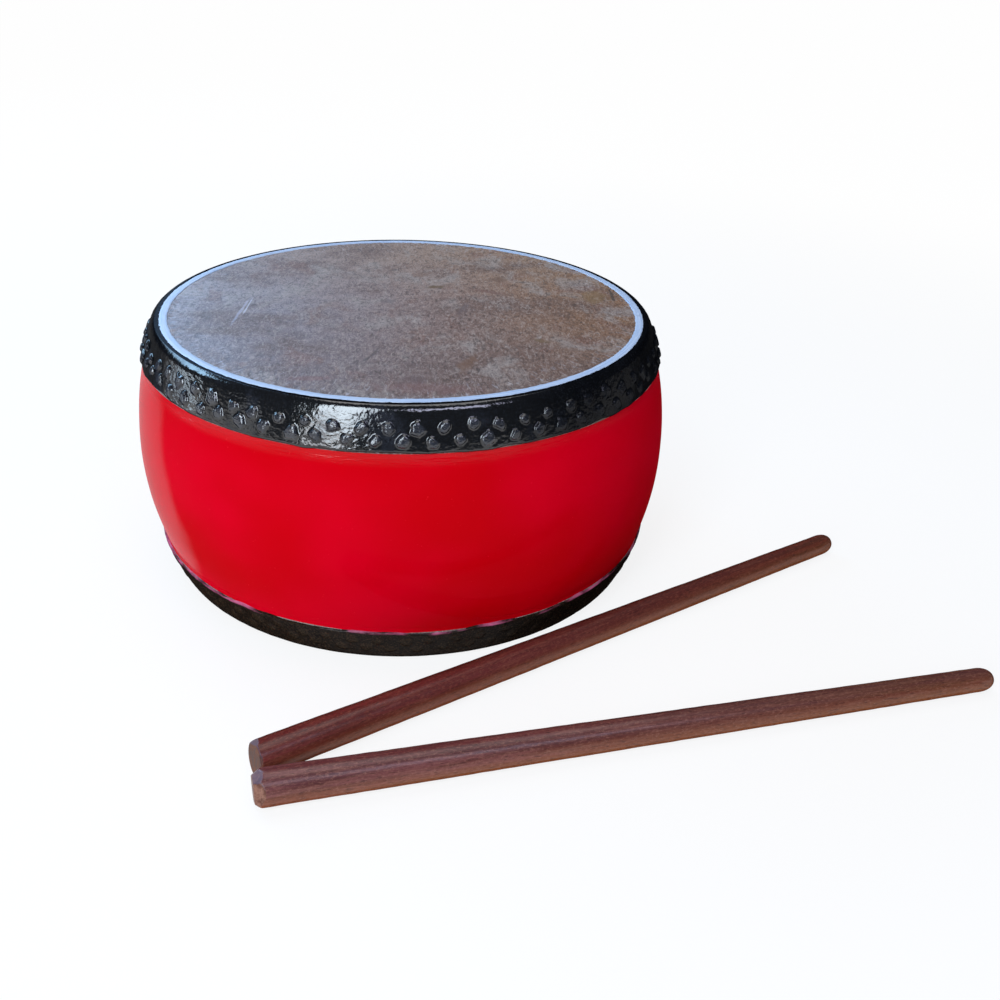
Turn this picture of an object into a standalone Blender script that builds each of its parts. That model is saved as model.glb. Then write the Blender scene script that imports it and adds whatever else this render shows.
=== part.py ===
"""Barrel drum with two pegged hides, and the pair of sticks that lies in front of it.

Units are metres and +Z is up. The drum stands on its lower playing face, and the origin is that
face's centre. The drum's profiles are pairs of radius and height above its middle, written for
the upper half. The lower hide and the lower peg band are the upper ones turned over.
"""

import math

import bmesh
import bpy

# Staves: the outside of each is an arc from end to end
DRUM_HEIGHT = 0.160
STAVE_COUNT = 17
STAVE_END_RADIUS = 0.1522
STAVE_SWELL = 0.0168
STAVE_THICKNESS = 0.012
EDGE_ROUNDING = 0.005
INNER_CHAMFER = 0.003
GLUE_GAP = 0.0003

# How far the drum is turned about its own axis, from its first stave over +X
DRUM_TURN = math.radians(2.0)

# Layers over the staves, and the gap left between any two of them
HIDE_THICKNESS = 0.0014
BLACK_LACQUER_THICKNESS = 0.0005
RED_LACQUER_THICKNESS = 0.0005
LAYER_GAP = 0.0003
LIP_DEPTH = 0.0002

# Pegs: two staggered rows of whittled heads on each band, measured down the drum's side
PEGS_PER_STAVE = 4
PEG_WIDTH = 0.0076
PEG_TOP_WIDTH = 0.0060
PEG_HEIGHT = 0.0016
PEG_MARGIN = 0.0006
PEG_ROW_LAP = 0.0004
SMOOTH_BAND = 0.0029
HEM = 0.0020

# Sticks: turned, tapered to the tip, and lying on the surface that the drum stands on
BACK_STICK_LENGTH = 0.420
FRONT_STICK_LENGTH = 0.414
STICK_BUTT_RADIUS = 0.00965
STICK_TIP_RADIUS = 0.0068
STICK_BEVEL_LENGTH = 0.0035
STICK_BEVEL_DEPTH = 0.0018
STICK_TIP_LENGTH = 0.009
STICK_SIDES = 16

# Where the sticks lie: the back one past the drum's foot, the front one beside its butt
BACK_STICK_HEADING = math.radians(29.2)
BACK_STICK_STANDOFF = 0.0049
BACK_STICK_BUTT_RUN = 0.185
FRONT_STICK_HEADING = math.radians(10.3)
FRONT_STICK_SET_BACK = 0.002
STICK_SPACE = 0.0009

# How finely the curves are divided
BELLY_STRIPS = 4
HOLLOW_STRIPS = 2
TIP_STEPS = 3
SHARP_EDGE = math.radians(28)

# Worked out from the sizes above
SEGMENTS = STAVE_COUNT * PEGS_PER_STAVE
PEGS_PER_ROW = SEGMENTS
HALF_HEIGHT = DRUM_HEIGHT / 2
HIDE_INNER = LAYER_GAP
HIDE_OUTER = HIDE_INNER + HIDE_THICKNESS
BAND_INNER = HIDE_OUTER + LAYER_GAP
BAND_OUTER = BAND_INNER + BLACK_LACQUER_THICKNESS
STAVE_HALF = HALF_HEIGHT - HIDE_OUTER
ARC_RADIUS = (STAVE_HALF**2 + STAVE_SWELL**2) / (2 * STAVE_SWELL)
ARC_CENTRE = STAVE_END_RADIUS + STAVE_SWELL - ARC_RADIUS
ROUNDING_HEIGHT = STAVE_HALF - EDGE_ROUNDING
ROUNDING_CENTRE = ARC_CENTRE + math.sqrt((ARC_RADIUS - EDGE_ROUNDING) ** 2 - ROUNDING_HEIGHT**2)
SHOULDER_ANGLE = math.atan2(ROUNDING_HEIGHT, ROUNDING_CENTRE - ARC_CENTRE)
LIP_ANGLE = math.asin((EDGE_ROUNDING + HIDE_OUTER - LIP_DEPTH) / (EDGE_ROUNDING + BAND_OUTER))
PEG_REACH = PEG_WIDTH / 2 + PEG_MARGIN
PEG_ROW_STEP = PEG_WIDTH - PEG_ROW_LAP
UPPER_ROW = SMOOTH_BAND + PEG_REACH
LOWER_ROW = UPPER_ROW + PEG_ROW_STEP
LAST_LINE = LOWER_ROW + PEG_REACH
SKIRT_LENGTH = LAST_LINE + HEM
SKIRT_ANGLE = SHOULDER_ANGLE - SKIRT_LENGTH / (ARC_RADIUS + BAND_OUTER)
COAT_ANGLE = SKIRT_ANGLE - LAYER_GAP / ARC_RADIUS


def clear_scene():
    for obj in list(bpy.data.objects):
        bpy.data.objects.remove(obj, do_unlink=True)


def finish(name, colour, roughness):
    """A plain finish, with its colour as linear red, green and blue."""
    material = bpy.data.materials.new(name)
    material.use_nodes = True
    shader = material.node_tree.nodes["Principled BSDF"]
    shader.inputs["Base Color"].default_value = (*colour, 1.0)
    shader.inputs["Roughness"].default_value = roughness
    shader.inputs["Metallic"].default_value = 0.0
    return material


def rounding_point(offset, angle):
    """A point over the rounded end of a stave, at a distance outside the wood."""
    reach = EDGE_ROUNDING + offset
    return ROUNDING_CENTRE + reach * math.cos(angle), ROUNDING_HEIGHT + reach * math.sin(angle)


def side_point(offset, angle):
    """A point over the arc of a stave's side, at a distance outside the wood."""
    reach = ARC_RADIUS + offset
    return ARC_CENTRE + reach * math.cos(angle), reach * math.sin(angle)


def skirt_profile(offset):
    """The run of a hide's skirt: over the rounded end and down the side to its cut edge."""
    return [
        rounding_point(offset, math.pi / 2),
        rounding_point(offset, LIP_ANGLE),
        side_point(offset, SHOULDER_ANGLE),
        side_point(offset, SKIRT_ANGLE),
    ]


def belly_angles(end_angle):
    """Angles down the side from one skirt to the other, at the same places on every layer."""
    inner = [SKIRT_ANGLE * (1 - 2 * step / BELLY_STRIPS) for step in range(1, BELLY_STRIPS)]
    return [end_angle, *inner, -end_angle]


def azimuth(index, count):
    """Every layer's corners stand over the staves' corners, so that the facets nest."""
    return -math.pi / STAVE_COUNT + 2 * math.pi * index / count


def add_ring(shape, radius, height, count):
    ring = []
    for index in range(count):
        turn = azimuth(index, count)
        ring.append(shape.verts.new((radius * math.cos(turn), radius * math.sin(turn), height)))
    return ring


def bridge(shape, first, second):
    count = len(first)
    for index in range(count):
        following = (index + 1) % count
        shape.faces.new((first[index], first[following], second[following], second[index]))


def finished_mesh(shape, name, material):
    """Turns the faces outwards, shades round stretches smooth and closes the edit."""
    bmesh.ops.recalc_face_normals(shape, faces=shape.faces)
    mesh = bpy.data.meshes.new(name)
    shape.to_mesh(mesh)
    shape.free()
    mesh.materials.append(material)
    mesh.shade_smooth()
    mesh.set_sharp_from_angle(angle=SHARP_EDGE)
    return mesh


def add_object(name, mesh, location, rotation):
    obj = bpy.data.objects.new(name, mesh)
    obj.location = location
    obj.rotation_euler = rotation
    bpy.context.scene.collection.objects.link(obj)
    return obj


def stave_outline():
    """The outline of a stave seen from its side: down the outside, and up the hollowed inside."""
    upper = [rounding_point(0.0, math.pi / 2), rounding_point(0.0, LIP_ANGLE), side_point(0.0, SHOULDER_ANGLE)]
    lower = [(radius, -height) for radius, height in reversed(upper)]
    outside = upper + [side_point(0.0, angle) for angle in belly_angles(SKIRT_ANGLE)] + lower
    hollow_angle = math.asin((STAVE_HALF - INNER_CHAMFER) / (ARC_RADIUS - STAVE_THICKNESS))
    inside = []
    for step in range(HOLLOW_STRIPS + 1):
        angle = hollow_angle * (2 * step / HOLLOW_STRIPS - 1)
        inside.append(side_point(-STAVE_THICKNESS, angle))
    end_radius = inside[0][0] + INNER_CHAMFER
    return outside + [(end_radius, -STAVE_HALF), *inside, (end_radius, STAVE_HALF)]


def stave_mesh(material):
    """One stave, centred on +X, with flat sides half a glue gap short of its neighbours."""
    shape = bmesh.new()
    half_turn = math.pi / STAVE_COUNT
    slices = []
    for step in range(PEGS_PER_STAVE + 1):
        share = 2 * step / PEGS_PER_STAVE - 1
        points = []
        for radius, height in stave_outline():
            turn = half_turn * share
            if abs(share) == 1:
                turn -= share * math.asin(GLUE_GAP / 2 / radius)
            points.append(shape.verts.new((radius * math.cos(turn), radius * math.sin(turn), height)))
        slices.append(points)
    for first, second in zip(slices, slices[1:]):
        bridge(shape, first, second)
    shape.faces.new(slices[0])
    shape.faces.new(slices[-1])
    return finished_mesh(shape, "stave", material)


def add_drum_piece(name, mesh, tilt=0.0, turn=0.0):
    """Places a mesh that was made round the drum's middle, and turns it with the drum."""
    add_object(name, mesh, (0.0, 0.0, HALF_HEIGHT), (tilt, 0.0, DRUM_TURN + turn))


def build_staves(material):
    mesh = stave_mesh(material)
    for index in range(STAVE_COUNT):
        add_drum_piece(f"stave_{index + 1:02d}", mesh, turn=2 * math.pi * index / STAVE_COUNT)


def hide_mesh(material):
    """The playing face and its skirt, as one skin of even thickness."""
    shape = bmesh.new()
    profile = skirt_profile(HIDE_OUTER) + list(reversed(skirt_profile(HIDE_INNER)))
    rings = [add_ring(shape, radius, height, SEGMENTS) for radius, height in profile]
    for first, second in zip(rings, rings[1:]):
        bridge(shape, first, second)
    shape.faces.new(rings[0])
    shape.faces.new(rings[-1])
    return finished_mesh(shape, "hide", material)


def band_point(shape, turn, run, across=0.0, lift=0.0):
    """A corner on the band's outside, by its turn and its run down the side from the shoulder."""
    angle = SHOULDER_ANGLE - run / (ARC_RADIUS + BAND_OUTER)
    radius, height = side_point(BAND_OUTER + lift, angle)
    turn += across / radius
    return shape.verts.new((radius * math.cos(turn), radius * math.sin(turn), height))


def add_peg(shape, cell, turn, run):
    """Raises one six-sided peg head inside its cell, which has its corners in the same order."""
    foot = []
    top = []
    for corner in range(len(cell)):
        angle = math.pi / 2 - 2 * math.pi * corner / len(cell)
        across = math.cos(angle) / 2
        down = -math.sin(angle) / 2
        foot.append(band_point(shape, turn, run + down * PEG_WIDTH, across * PEG_WIDTH))
        top.append(band_point(shape, turn, run + down * PEG_TOP_WIDTH, across * PEG_TOP_WIDTH, PEG_HEIGHT))
    bridge(shape, cell, foot)
    bridge(shape, foot, top)
    shape.faces.new(top)


def band_mesh(material):
    """The black lacquered skirt cover with its two staggered rows of peg heads."""
    shape = bmesh.new()
    count = 2 * PEGS_PER_ROW
    turns = [azimuth(index, count) for index in range(count)]
    first_line = [band_point(shape, turn, SMOOTH_BAND) for turn in turns]
    last_line = [band_point(shape, turn, LAST_LINE) for turn in turns]
    middle_runs = (UPPER_ROW + PEG_REACH, LOWER_ROW - PEG_REACH)
    middle_line = [band_point(shape, turn, middle_runs[index % 2]) for index, turn in enumerate(turns)]
    for index, turn in enumerate(turns):
        is_upper = index % 2 == 0
        above, below = (first_line, middle_line) if is_upper else (middle_line, last_line)
        before = index - 1
        after = (index + 1) % count
        cell = (above[index], above[after], below[after], below[index], below[before], above[before])
        add_peg(shape, cell, turn, UPPER_ROW if is_upper else LOWER_ROW)
    outside = skirt_profile(BAND_OUTER)[1:]
    inside = skirt_profile(BAND_INNER)[1:]
    lip, shoulder, cut_edge = [add_ring(shape, *point, count) for point in outside]
    inner_rings = [add_ring(shape, *point, count) for point in reversed(inside)]
    bridge(shape, lip, shoulder)
    bridge(shape, shoulder, first_line)
    bridge(shape, last_line, cut_edge)
    for first, second in zip([cut_edge, *inner_rings], [*inner_rings, lip]):
        bridge(shape, first, second)
    return finished_mesh(shape, "peg_band", material)


def build_heads(hide_material, band_material):
    hide = hide_mesh(hide_material)
    band = band_mesh(band_material)
    for end, tilt in (("top", 0.0), ("bottom", math.pi)):
        add_drum_piece(f"hide_{end}", hide, tilt)
        add_drum_piece(f"peg_band_{end}", band, tilt)


def build_coat(material):
    """The red lacquer, a skin that bridges the staves between the two skirts."""
    shape = bmesh.new()
    angles = belly_angles(COAT_ANGLE)
    outside = [side_point(LAYER_GAP + RED_LACQUER_THICKNESS, angle) for angle in angles]
    inside = [side_point(LAYER_GAP, angle) for angle in reversed(angles)]
    rings = [add_ring(shape, radius, height, SEGMENTS) for radius, height in outside + inside]
    for first, second in zip(rings, rings[1:] + rings[:1]):
        bridge(shape, first, second)
    add_drum_piece("red_lacquer_coat", finished_mesh(shape, "red_lacquer_coat", material))


def stick_stations(length):
    """Along a stick: the distance from the butt, the radius there, and the height of the axis."""
    taper = (STICK_BUTT_RADIUS - STICK_TIP_RADIUS) / length
    tip_start = length - STICK_TIP_LENGTH
    bevel_end = STICK_BUTT_RADIUS - taper * STICK_BEVEL_LENGTH
    stations = [
        (0.0, STICK_BUTT_RADIUS - STICK_BEVEL_DEPTH, STICK_BUTT_RADIUS),
        (STICK_BEVEL_LENGTH, bevel_end, bevel_end),
    ]
    for step in range(TIP_STEPS + 1):
        angle = math.pi / 2 * step / (TIP_STEPS + 0.5)
        run = tip_start + STICK_TIP_LENGTH * math.sin(angle)
        axis_height = STICK_BUTT_RADIUS - taper * run
        stations.append((run, axis_height * math.cos(angle), axis_height))
    return stations


def build_stick(name, length, butt, heading, material):
    """A stick that points along its heading from its butt, with its underside on the floor."""
    shape = bmesh.new()
    rings = []
    for run, radius, axis_height in stick_stations(length):
        ring = []
        for side in range(STICK_SIDES):
            turn = 2 * math.pi * side / STICK_SIDES
            ring.append(shape.verts.new((run, radius * math.cos(turn), axis_height + radius * math.sin(turn))))
        rings.append(ring)
    for first, second in zip(rings, rings[1:]):
        bridge(shape, first, second)
    shape.faces.new(rings[0])
    shape.faces.new(rings[-1])
    add_object(name, finished_mesh(shape, name, material), (*butt, 0.0), (0.0, 0.0, heading))


def beside(start, heading, to_right, back):
    """A place to the right of a heading through the start, and back along it."""
    x = start[0] + to_right * math.sin(heading) - back * math.cos(heading)
    y = start[1] - to_right * math.cos(heading) - back * math.sin(heading)
    return x, y


def build_sticks(material):
    """The back stick passes close to the foot of the drum, and the front one starts beside it."""
    foot_radius = side_point(BAND_OUTER, SKIRT_ANGLE)[0]
    offset = foot_radius + BACK_STICK_STANDOFF + STICK_BUTT_RADIUS
    back_butt = beside((0.0, 0.0), BACK_STICK_HEADING, offset, BACK_STICK_BUTT_RUN)
    build_stick("stick_back", BACK_STICK_LENGTH, back_butt, BACK_STICK_HEADING, material)
    spacing = 2 * STICK_BUTT_RADIUS + STICK_SPACE
    front_butt = beside(back_butt, FRONT_STICK_HEADING, spacing, FRONT_STICK_SET_BACK)
    build_stick("stick_front", FRONT_STICK_LENGTH, front_butt, FRONT_STICK_HEADING, material)


def main():
    clear_scene()
    build_staves(finish("jackfruit_wood", (0.55, 0.36, 0.15), 0.6))
    build_heads(
        finish("rawhide", (0.21, 0.18, 0.18), 0.55),
        finish("black_lacquer", (0.012, 0.012, 0.014), 0.12),
    )
    build_coat(finish("red_lacquer", (0.70, 0.0, 0.012), 0.15))
    build_sticks(finish("rosewood", (0.12, 0.035, 0.028), 0.4))


main()
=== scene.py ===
"""Looks of the barrel drum: lacquer, peg heads, hides and sticks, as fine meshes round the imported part.

Units are metres and +Z is up. The drum's profiles are pairs of radius and height above its middle,
written for the upper half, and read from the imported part. The lower half is the upper one turned over.
Colours are written as they look on a screen, from 0 to 255.
"""

from collections import namedtuple
from math import asin, atan2, cos, exp, log, pi, radians, sin, sqrt

import bpy
import numpy as np
from mathutils import Matrix, Vector


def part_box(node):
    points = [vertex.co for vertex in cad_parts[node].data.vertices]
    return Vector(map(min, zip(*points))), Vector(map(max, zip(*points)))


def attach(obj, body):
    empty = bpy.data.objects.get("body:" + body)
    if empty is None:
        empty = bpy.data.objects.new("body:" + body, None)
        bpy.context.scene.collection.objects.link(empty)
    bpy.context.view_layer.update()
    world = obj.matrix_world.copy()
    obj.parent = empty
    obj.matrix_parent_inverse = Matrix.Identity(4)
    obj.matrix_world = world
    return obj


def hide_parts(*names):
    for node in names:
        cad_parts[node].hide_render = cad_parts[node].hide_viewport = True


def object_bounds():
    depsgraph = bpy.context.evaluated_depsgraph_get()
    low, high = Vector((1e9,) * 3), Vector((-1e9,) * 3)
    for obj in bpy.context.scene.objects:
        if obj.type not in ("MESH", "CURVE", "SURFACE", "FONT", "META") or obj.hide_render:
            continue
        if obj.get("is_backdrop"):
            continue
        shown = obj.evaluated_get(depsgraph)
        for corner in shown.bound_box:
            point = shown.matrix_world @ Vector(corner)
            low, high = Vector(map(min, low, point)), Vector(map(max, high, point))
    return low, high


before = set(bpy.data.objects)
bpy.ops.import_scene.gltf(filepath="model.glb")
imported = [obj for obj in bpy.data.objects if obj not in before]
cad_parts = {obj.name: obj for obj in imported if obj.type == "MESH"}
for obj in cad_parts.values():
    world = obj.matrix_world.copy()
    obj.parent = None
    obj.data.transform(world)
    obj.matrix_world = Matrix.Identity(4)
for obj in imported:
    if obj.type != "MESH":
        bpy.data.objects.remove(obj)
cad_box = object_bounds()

FULL_TURN = 2 * pi

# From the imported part: the height of the drum's middle, half its height and its number of staves
MIDDLE = (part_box("hide_bottom")[0].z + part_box("hide_top")[1].z) / 2
HALF_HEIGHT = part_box("hide_top")[1].z - MIDDLE
STAVE_COUNT = sum(name.startswith("stave_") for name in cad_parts)

# How deep below an extreme a packed corner still counts as on a flat, a skirt's cut edge or a peg's top
FLAT_DEPTH = 0.0001
CUT_EDGE_DEPTH = 0.001
PEG_TOP_DEPTH = 0.0004

# Where the photograph was taken from, in degrees where it turns
CAMERA_PLACE = (0.0, -0.6481, 0.3816)
CAMERA_HEADING = 5.76
CAMERA_PITCH = -29.135
CAMERA_ROLL = 2.469
CAMERA_LENS_MM = 38.136
CAMERA_SENSOR_MM = 36.0

# Studio lights: the compass bearing from +Y towards +X and the height they come from, in degrees
LIGHT_AIM = (0.02, -0.05, 0.10)
Light = namedtuple("Light", "name bearing height distance width depth watts colour")
LIGHTS = (
    Light("key_sky", -152, 35, 1.7, 0.54, 1.20, 25.0, (0.78, 0.89, 1.0)),
    Light("right_sky", 156, 50, 1.9, 1.00, 0.36, 8.0, (0.74, 0.76, 1.0)),
    Light("top_sky", 10, 78, 2.0, 1.40, 1.40, 14.0, (1.0, 0.99, 0.98)),
    Light("left_sky", -52, 31, 1.8, 1.50, 0.50, 20.0, (0.42, 0.70, 1.0)),
    Light("low_sky", -78, 2, 1.8, 0.60, 0.14, 1.2, (0.66, 0.84, 1.0)),
    Light("hem_sky", -147, 11, 1.8, 0.50, 0.16, 2.2, (0.90, 0.94, 1.0)),
    Light("side_hem_sky", -114, 8, 1.8, 0.44, 0.12, 0.25, (0.90, 0.94, 1.0)),
    Light("back_sky", -28, 26, 2.0, 0.90, 0.80, 11.0, (0.34, 0.60, 1.0)),
    Light("back_fill", 4, 18, 2.0, 1.60, 0.40, 0.8, (1.0, 0.95, 0.90)),
)

# The sky's dim light, and how many degrees above the horizon it is no longer seen as white
SKY_LIGHT = (0.80, 0.88, 1.0)
SKY_STRENGTH = 0.11
HAZE_TOP = 6.5

# The floor, and how white it is seen: two distances from the drum, and the shares there
FLOOR_HALF_WIDTH = 9.0
FLOOR_SHADE = (0.82, 0.82, 0.82)
FLOOR_WHITENESS = (0.35, 1.3, 0.84, 0.99)

# Seeds of what is random on each piece
SEEDS = {"top": 11, "bottom": 12, "coat": 13, "back": 14, "front": 15}

# How finely the pieces are divided
PEGS_PER_ROW = 68
COLUMNS_PER_PEG = 15
BAND_COLUMNS = 2 * PEGS_PER_ROW * COLUMNS_PER_PEG
BAND_STEP = 0.00045
HEM_ROWS = 7
COAT_COLUMNS = 480
COAT_ROWS = 84
COAT_END_ROWS = 16
HIDE_COLUMNS = 720
HIDE_RINGS = 72
SKIRT_ROWS = 5
RIM_COLUMNS = 1800
STICK_SIDES = 72
STICK_STEP = 0.0015
BUTT_STEP = 0.0004
CAP_ROWS = 16

# Random ripples of a surface: their height, how many there are, and the shortest and the longest
Ripples = namedtuple("Ripples", "height count shortest longest")
RIPPLE_RADIUS = 0.16
CRACKLE = Ripples(0.000011, 80, 0.0012, 0.0022)
WRINKLES = Ripples(0.00002, 80, 0.0022, 0.0055)
BRUSH_DRAGS = Ripples(0.00005, 60, 0.006, 0.035)
BRUSH_STRETCH = 0.4
HEM_WAVES = Ripples(0.00035, 24, 0.012, 0.09)
HIDE_SAG = Ripples(0.00003, 50, 0.012, 0.09)
HIDE_PUCKER = Ripples(0.00012, 40, 0.004, 0.010)
RIM_INNER_WAVES = Ripples(0.00014, 30, 0.004, 0.06)
RIM_OUTER_WAVES = Ripples(0.00012, 40, 0.002, 0.05)
RIM_CHIPS = Ripples(1.0, 30, 0.003, 0.012)
COAT_WAVES = Ripples(0.00009, 40, 0.03, 0.14)
STICK_WAVES = Ripples(0.000048, 30, 0.008, 0.06)

# Hides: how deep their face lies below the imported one, and the thin skin of their skirt
HIDE_TOP = 0.00042
HIDE_UNDERSIDE = 0.0014
PUCKER_REACH = 0.016
SKIRT_GAP = 0.0003
SKIRT_THICKNESS = 0.001
SKIRT_START_ANGLE = 1.2

# The pale line round a hide, of paint whose blue is painted sky reflection: its edges, its outline as
# shares of its width and depths, and its chips
RIM_INNER = 0.1452
RIM_OUTER = 0.1500
RIM_TOP = 0.00003
RIM_OUTLINE = (
    (0, 0.0012), (0, 0.0001), (0.06, 0), (0.35, 0),
    (0.65, 0), (0.94, 0), (1, 0.00012), (1, 0.0012),
)
DAB_LEVEL = 1.6
DAB_REACH = 0.00025
CHIP_LEVEL = 1.9
CHIP_REACH = 0.0006

# Marks on the upper hide: middle, size, turn in degrees, colour and strength
Mark = namedtuple("Mark", "x y length width turn colour strength")
HIDE_MARKS = [Mark(*row) for row in (
    (0.020, 0.040, 0.012, 0.006, 15, (88, 66, 40), 0.85),
    (0.125, 0.022, 0.028, 0.018, 80, (118, 90, 52), 0.5),
    (0.137, 0.028, 0.036, 0.0022, 88, (58, 42, 34), 0.9),
    (0.054, 0.032, 0.024, 0.006, -24, (94, 60, 52), 0.65),
    (0.064, 0.058, 0.014, 0.012, 30, (92, 66, 52), 0.6),
    (0.011, 0.066, 0.014, 0.010, 30, (108, 78, 62), 0.55),
    (0.036, -0.006, 0.024, 0.006, 78, (90, 72, 70), 0.7),
    (-0.011, 0.010, 0.010, 0.008, 10, (88, 76, 76), 0.6),
    (0.079, -0.059, 0.012, 0.006, -18, (98, 74, 46), 0.7),
    (0.034, -0.097, 0.026, 0.008, 68, (98, 66, 46), 0.7),
    (-0.021, -0.088, 0.026, 0.0016, 62, (74, 62, 62), 0.8),
    (0.010, -0.131, 0.058, 0.014, -4, (104, 64, 60), 0.4),
    (-0.052, -0.118, 0.024, 0.006, 4, (110, 66, 62), 0.45),
    (0.004, -0.119, 0.016, 0.010, 0, (84, 62, 60), 0.6),
    (-0.101, -0.010, 0.050, 0.0020, 84, (178, 178, 196), 0.42),
    (-0.098, -0.002, 0.030, 0.0012, 86, (196, 196, 210), 0.5),
    (-0.019, -0.083, 0.026, 0.0014, 71, (70, 58, 56), 0.7),
)]
MARK_FADE = (1.35, 0.45)
MARK_RAGGEDNESS = 2.2

# Black bands: their shelf on the head, how strong their relief is there, and how the hem rolls off
SHELF_START = 0.1494
SHELF_TOP = 0.00016
SHELF_RELIEF = 0.25
RIM_CLEARANCE = 0.00004
HEM_ROLL = 0.0011
HEM_ROLL_START = 0.2
HEM_REACH = 0.003
HEM_BURY = 0.0003
BAND_TUCK = 0.0002
# How far up the hem's roll the pale pink lip, partly a painted highlight, starts and is full
LIP_HIGHLIGHT_START = 0.0013
LIP_HIGHLIGHT_FULL = LIP_HIGHLIGHT_START / 3

# Peg heads, which are whittled by hand and lie a little off their rows
HEAD_WIDTH = 0.0077
HEAD_HEIGHT = 0.0016
HEAD_SPREAD = 0.0011
HEAD_SHARES = {"top": 1.0, "bottom": 0.26}
HEAD_CORNER = 0.11
HEAD_WARP = 0.00036
HEAD_FLAT = 0.58
HEAD_FOOT = 1.04
HEAD_DOME = 0.18
HEAD_WINDOW = 0.0065
HEAD_MASK = (0.7, 1.05)
TOP_FACETS = 3
FACET_TOP = 0.98
FACET_ROUNDING = 0.00012

# What is drawn for each peg head, from the least to the greatest: shares, or a number of sides
HEAD_WIDTHS = (0.78, 1.12)
HEAD_HEIGHTS = (0.78, 1.08)
HEAD_SIDES = (5, 8)
SIDE_SHIFTS = (-0.2, 0.2)
SIDE_INSETS = (0.80, 1.05)
WARP_BENDS = (0.7, 1.3)
FACET_SLOPES = (0.02, 0.20)

# Red lacquer, which climbs in a fillet to the hem of each black band
COAT_SINK = 0.00028
COAT_TUCK = 0.0015
COAT_THICKNESS = 0.0009
COAT_FILLET = 0.0006
COAT_FILLET_RUN = 0.0035

# Flat cuts on the sticks' ends: turn round the stick in degrees, length along it and depth at its end
Cut = namedtuple("Cut", "turn length depth")
BUTT_CUTS = {
    "back": (Cut(62, 0.0026, 0.0020), Cut(150, 0.0014, 0.0010)),
    "front": (
        Cut(98, 0.0050, 0.0028), Cut(157, 0.0052, 0.0038),
        Cut(236, 0.0034, 0.0028), Cut(48, 0.0040, 0.0032),
    ),
}
TIP_CUTS = (
    Cut(95, 0.0100, 0.0012), Cut(170, 0.0120, 0.0014),
    Cut(262, 0.0160, 0.0026), Cut(330, 0.0120, 0.0014),
)
CUT_LEAST_FACING = 0.05

# The rest of the sticks' shape: how each butt's face leans, and how its edge and the tip are rounded
Lean = namedtuple("Lean", "slope turn")
BUTT_LEANS = {"back": Lean(0.14, 72), "front": Lean(0.06, 160)}
LEAN_REACH = 0.016
BUTT_REACH = 0.010
BUTT_PROUD = 0.001
EDGE_ROUNDING = 0.0007
EDGE_SHARES = (0.0, 0.08, 0.25, 0.5, 0.75, 1.0)
FACE_SHARES = (0.2, 0.4, 0.6, 0.8, 0.93)
TIP_LENGTH = 0.010
TIP_POWER = 2.3
TIP_END = 0.00002
TIP_SHARE = 0.9
STICK_INSET = 0.00006
STICK_WAVE_LIMIT = 0.0000576
SHARP_ANGLE = 24
END_GRAIN_REACH = 0.009
END_GRAIN_LEAN = 0.34

# How strongly black lacquer mirrors, how much greyer its patches of wear are, and how much greyer its peg
# heads are as painted sheen
LACQUER_IOR = 1.75
PATCH_WEAR = 0.6
HEAD_PAINTED_SHEEN = 0.75

# How a dark gloss fades at a glancing angle, from 0, square on, to 1, and across the drum along X, where
# the black lacquer's grey also fades as painted shade on +X: where the fade starts and ends, and the shares
# there
GLANCE_FADE = (0.38, 0.64, 1.0, 0.06)
DULL_AND_SHADE_FADE = (0.03, 0.10, 1.0, 0.16)

# Gloss of the red lacquer: all over, and near the upper hem, by the distance from it
RED_GLOSS = 0.035
HEM_GLOSS = 0.35
HEM_GLOSS_START = 0.008
HEM_GLOSS_FULL = 0.003

# Brush drags in the red lacquer, which are faint away from the hems
DRAG_LEAST = 0.04
DRAG_START = 0.009
DRAG_FULL = 0.003

# The thick glossy lacquer on the drum's far -X side: how it fades along X, leans, wanders and shines
THICK_FADE = (-0.139, -0.128, 1.0, 0.0)
THICK_LEAN = 0.15
THICK_WANDER = 0.022
THICK_GLOSS = 0.27

# Colours of each stick: at its butt, at its tip, in its dark and light grain, and in its end grain
Tones = namedtuple("Tones", "butt tip dark light end_dark end_light")
STICK_TONES = {
    "back": Tones((112, 47, 46), (62, 33, 21), (76, 29, 26), (140, 82, 64), (66, 32, 20), (108, 60, 38)),
    "front": Tones((120, 69, 69), (92, 54, 36), (78, 40, 40), (150, 102, 86), (94, 56, 44), (146, 102, 84)),
}
STICK_GLOSS = 0.6

# Painted light on a stick by height, as a share of the butt's radius: an orange reflection on its floor
# side and shade on top
UNDERSIDE_PAINTED_REFLECTION = (142, 76, 36)
UNDERSIDE_PAINTED_REFLECTION_FULL = 0.6
UNDERSIDE_PAINTED_REFLECTION_END = 1.9
TOP_PAINTED_SHADE_START = 1.5
TOP_PAINTED_SHADE_FULL = 2.2
WOOD_WANDER = 0.006


def corners_of(node):
    """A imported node's corners, as rows of x, y and z."""
    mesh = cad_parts[node].data
    corners = np.zeros(len(mesh.vertices) * 3, np.float32)
    mesh.vertices.foreach_get("co", corners)
    return np.unique(corners.reshape(-1, 3).astype(float).round(6), axis=0)


def outline_of(node):
    """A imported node's corners, as rows of radius and height above the drum's middle."""
    corners = corners_of(node)
    return np.column_stack((np.hypot(corners[:, 0], corners[:, 1]), corners[:, 2] - MIDDLE))


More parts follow.
